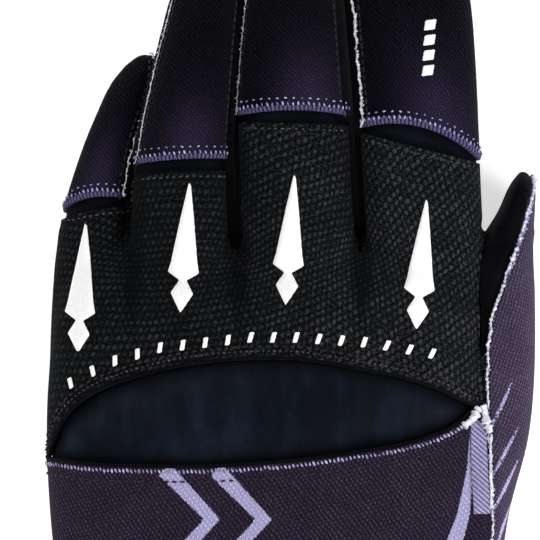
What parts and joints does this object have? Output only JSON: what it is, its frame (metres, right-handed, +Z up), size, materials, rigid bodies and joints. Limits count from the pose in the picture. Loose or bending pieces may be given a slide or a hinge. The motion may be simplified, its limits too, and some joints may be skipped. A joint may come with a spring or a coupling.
{
  "type": "karting glove",
  "caption": "Close-fitting left-hand karting glove lying palm down, with knit back panels, a mesh knuckle panel, a satin stretch insert behind the knuckles and a suede palm.",
  "frame": {"origin": "on the flat resting face of the palm, under the knuckles, about halfway along the glove", "axes": "+X towards the thumb, +Y towards the fingertips, +Z up from the palm to the back of the hand"},
  "size_m": [0.1155, 0.2386, 0.0347],
  "materials": {
    "printed_knit": "matt aubergine knit with lilac printed stripes",
    "rib_knit": "matt aubergine rib knit",
    "knuckle_mesh": "matt black spacer mesh with small raised cells",
    "satin_stretch": "smooth navy-black stretch satin",
    "palm_suede": "matt black synthetic suede",
    "twill_tape": "lilac twill tape",
    "white_print": "matt white raised silicone print"
  },
  "bodies": {
    "root": {"cuff": "rib_knit", "back_panel": "printed_knit", "knuckle_panel": "knuckle_mesh", "stretch_insert": "satin_stretch", "fourchette_index_middle": "palm_suede", "fourchette_middle_ring": "palm_suede", "fourchette_ring_little": "palm_suede", "thumb_back": "printed_knit", "thumb_front": "palm_suede", "palm": "palm_suede", "thumb_seam_tape": "twill_tape", "finger_back_index": "printed_knit", "finger_flex_index": "satin_stretch", "knuckle_mark_index": "white_print", "finger_back_middle": "printed_knit", "finger_flex_middle": "satin_stretch", "knuckle_mark_middle": "white_print", "finger_back_ring": "printed_knit", "finger_flex_ring": "satin_stretch", "knuckle_mark_ring": "white_print", "finger_back_little": "printed_knit", "finger_flex_little": "satin_stretch", "knuckle_mark_little": "white_print"}
  },
  "joints": []
}
